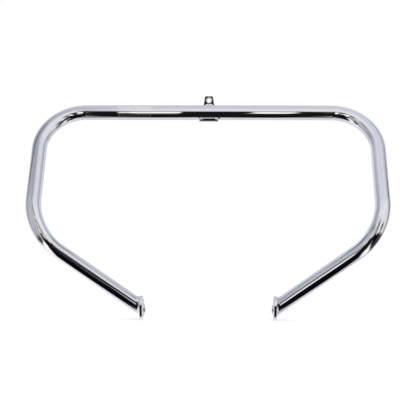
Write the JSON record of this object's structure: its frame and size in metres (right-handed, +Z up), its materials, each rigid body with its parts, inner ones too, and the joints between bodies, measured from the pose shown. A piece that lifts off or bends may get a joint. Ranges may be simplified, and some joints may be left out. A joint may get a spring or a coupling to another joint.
{
  "type": "motorcycle crash bars",
  "caption": "Chrome motorcycle engine guard: a wide loop of bent round tube with a bolt tab behind its top bar and a bolted foot plate at the end of each inward leg.",
  "frame": {"origin": "centre of the upper bolt hole, in the middle of the bracket plate's thickness", "axes": "+X along the top bar, to the right as seen in the picture; +Y to the rear, along the upper bolt; +Z up"},
  "size_m": [0.7522, 0.1966, 0.4857],
  "materials": {
    "chrome": "mirror-bright chrome plating on steel",
    "chrome_weld": "chrome plating over rippled weld beads",
    "bush_steel": "turned steel with a satin rim",
    "clear_film": "thin clear protective film"
  },
  "bodies": {
    "root": {"guard_tube": "chrome", "upper_bracket": "chrome", "tab_bush": "bush_steel", "upper_weld": "chrome_weld", "lower_weld": "chrome_weld", "left_foot_plate": "chrome", "right_foot_plate": "chrome", "left_foot_weld": "chrome_weld", "right_foot_weld": "chrome_weld", "clear_film": "clear_film"}
  },
  "joints": []
}
